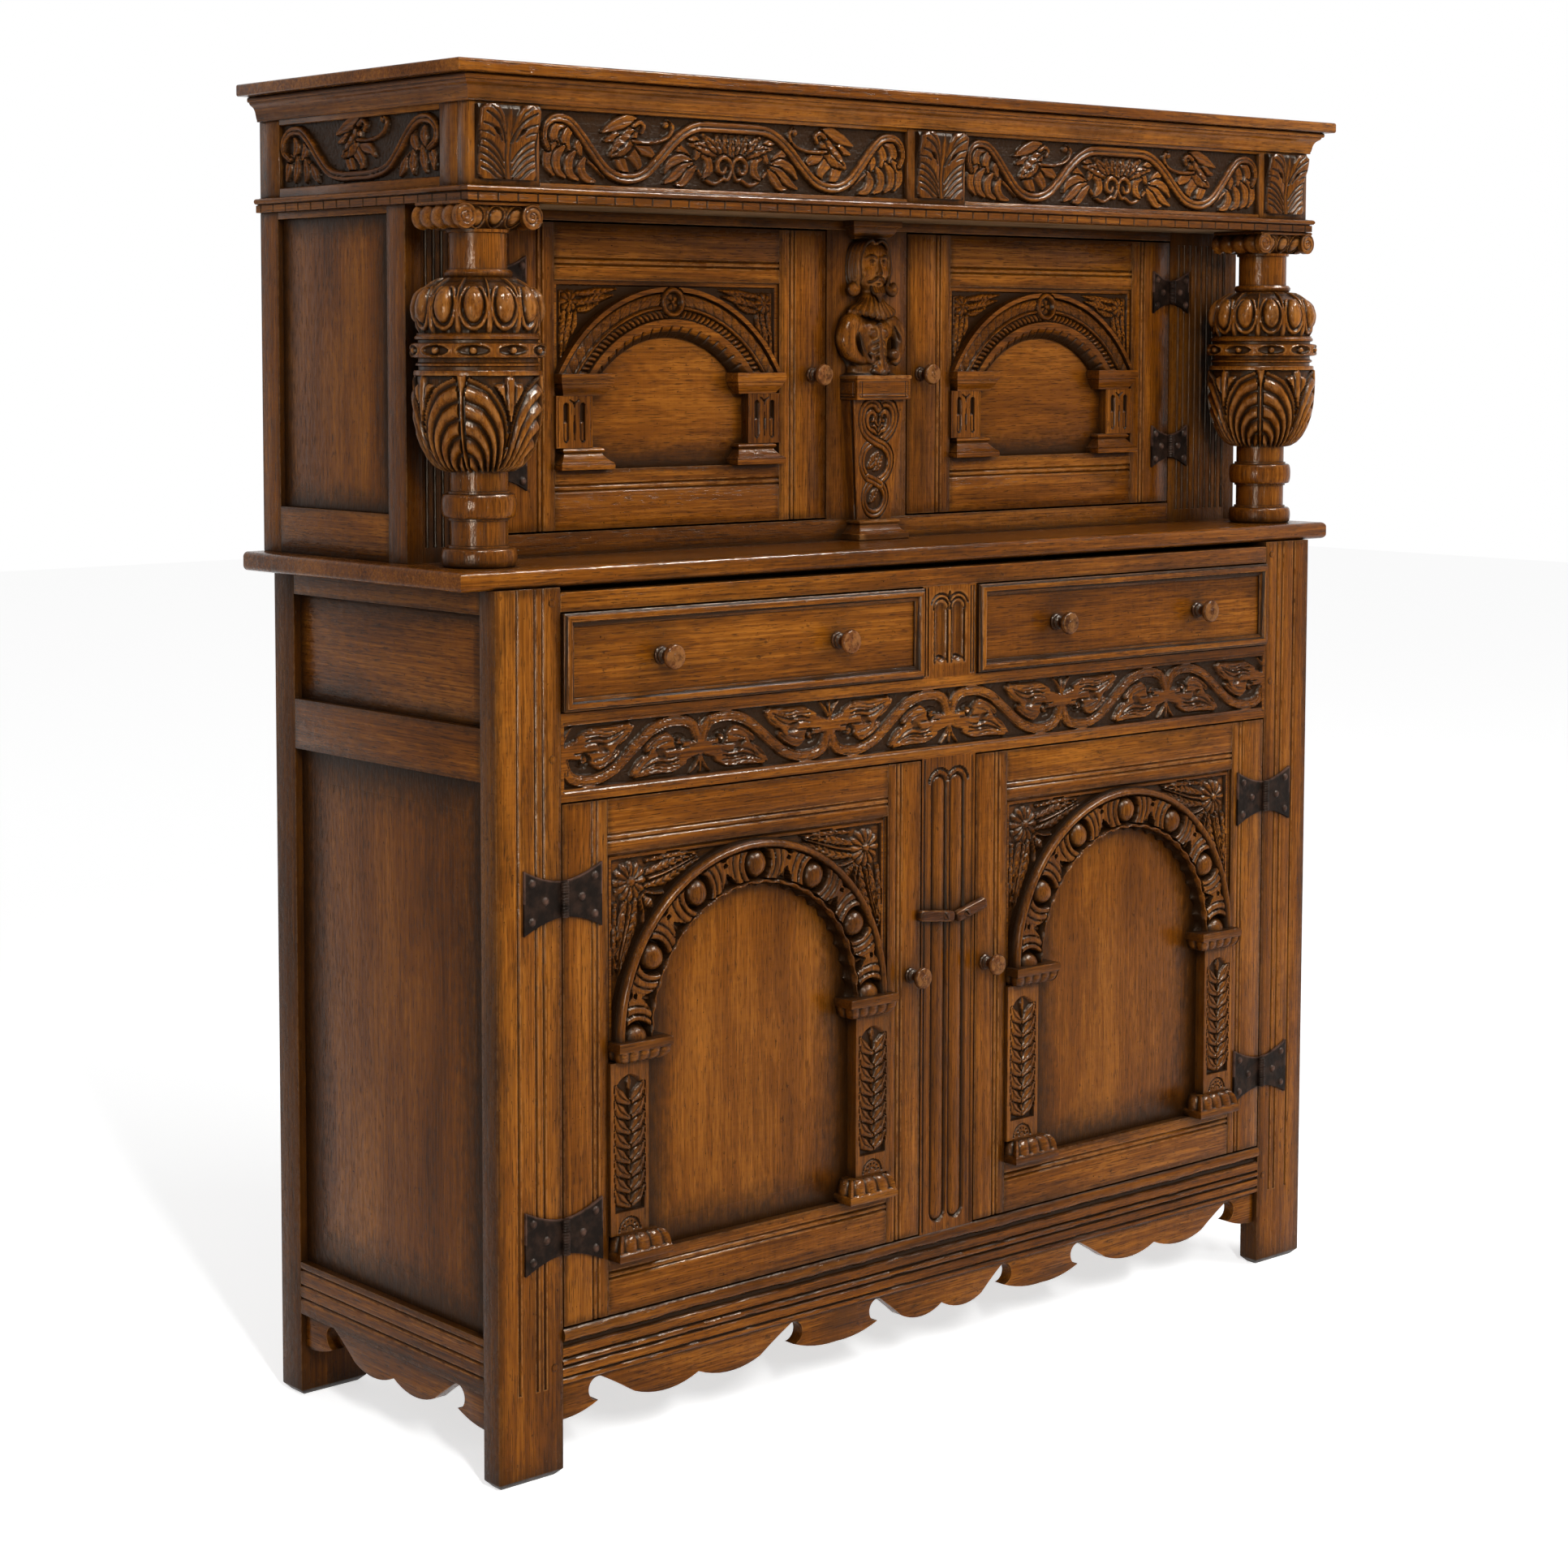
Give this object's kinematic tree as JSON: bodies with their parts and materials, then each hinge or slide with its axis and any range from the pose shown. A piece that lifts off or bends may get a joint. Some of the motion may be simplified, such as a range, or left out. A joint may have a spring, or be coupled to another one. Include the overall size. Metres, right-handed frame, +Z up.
{
  "type": "court cupboard",
  "caption": "Joined oak court cupboard: drawers over arcaded doors, and a recessed upper case with a term and turned columns under a carved frieze.",
  "frame": {"origin": "middle of the base, where the box of the whole cupboard meets the floor", "axes": "+X to the cupboard's right seen from the front, -Y towards its front, +Z up"},
  "size_m": [1.391, 0.447, 1.478],
  "materials": {
    "oak": "waxed and worn",
    "oak_inner": "plain, unpolished",
    "iron": "forged, dark"
  },
  "bodies": {
    "case": {"bottom_rail": "oak", "carved_rail": "oak", "column_left": "oak", "column_right": "oak", "corbels": "oak", "cornice_moulding": "oak", "door_muntin": "oak", "drawer_muntin": "oak", "drawer_runners": "oak_inner", "drawer_top_rail": "oak", "fixed_hinge_leaves": "iron", "floor_board": "oak_inner", "frieze_box": "oak", "front_apron": "oak", "front_post_left": "oak", "front_post_right": "oak", "lower_back": "oak_inner", "necking_moulding": "oak", "pegs": "oak", "rear_post_left": "oak", "rear_post_right": "oak", "reeded_post_left": "oak", "reeded_post_right": "oak", "shelf_board": "oak", "side_frame_left": "oak", "side_frame_right": "oak", "soffit_board": "oak_inner", "term_figure": "oak", "term_pilaster": "oak", "top_board": "oak", "upper_back": "oak_inner", "upper_face_frame": "oak", "upper_side_left": "oak", "upper_side_right": "oak"},
    "drawer_left": {"drawer_front_left": "oak", "drawer_box_left": "oak_inner", "drawer_knobs_left": "oak"},
    "lower_door_left": {"lower_door_frame_left": "oak", "lower_arcade_left": "oak", "lower_door_knob_left": "oak", "lower_door_hinges_left": "iron"},
    "upper_door_left": {"upper_door_frame_left": "oak", "upper_arcade_left": "oak", "upper_door_knob_left": "oak", "upper_door_hinges_left": "iron"},
    "turnbuckle_left": {"turnbuckle_left": "oak"},
    "drawer_right": {"drawer_front_right": "oak", "drawer_box_right": "oak_inner", "drawer_knobs_right": "oak"},
    "lower_door_right": {"lower_door_frame_right": "oak", "lower_arcade_right": "oak", "lower_door_knob_right": "oak", "lower_door_hinges_right": "iron"},
    "upper_door_right": {"upper_door_frame_right": "oak", "upper_arcade_right": "oak", "upper_door_knob_right": "oak", "upper_door_hinges_right": "iron"},
    "turnbuckle_right": {"turnbuckle_right": "oak"}
  },
  "joints": [
    {"name": "drawer_left_slide", "type": "slide", "parent": "case", "child": "drawer_left", "axis": [0, -1, 0], "range_m": [0, 0.26]},
    {"name": "lower_door_left_hinge", "type": "hinge", "parent": "case", "child": "lower_door_left", "pos_m": [-0.56525, -0.2005, 0.437], "axis": [0, 0, -1], "range_deg": [0, 110]},
    {"name": "upper_door_left_hinge", "type": "hinge", "parent": "case", "child": "upper_door_left", "pos_m": [-0.53725, -0.0585, 1.1615], "axis": [0, 0, -1], "range_deg": [0, 85]},
    {"name": "drawer_right_slide", "type": "slide", "parent": "case", "child": "drawer_right", "axis": [0, -1, 0], "range_m": [0, 0.26]},
    {"name": "lower_door_right_hinge", "type": "hinge", "parent": "case", "child": "lower_door_right", "pos_m": [0.56525, -0.2005, 0.437], "axis": [0, 0, 1], "range_deg": [0, 110]},
    {"name": "upper_door_right_hinge", "type": "hinge", "parent": "case", "child": "upper_door_right", "pos_m": [0.53725, -0.0585, 1.1615], "axis": [0, 0, 1], "range_deg": [0, 85]},
    {"name": "turnbuckle_left_pivot", "type": "hinge", "parent": "case", "child": "turnbuckle_left", "pos_m": [-0.011, -0.1955, 0.531], "axis": [0, -1, 0], "range_deg": [-83, 97]},
    {"name": "turnbuckle_right_pivot", "type": "hinge", "parent": "case", "child": "turnbuckle_right", "pos_m": [0.023, -0.1955, 0.531], "axis": [0, -1, 0], "range_deg": [-105, 75]}
  ]
}
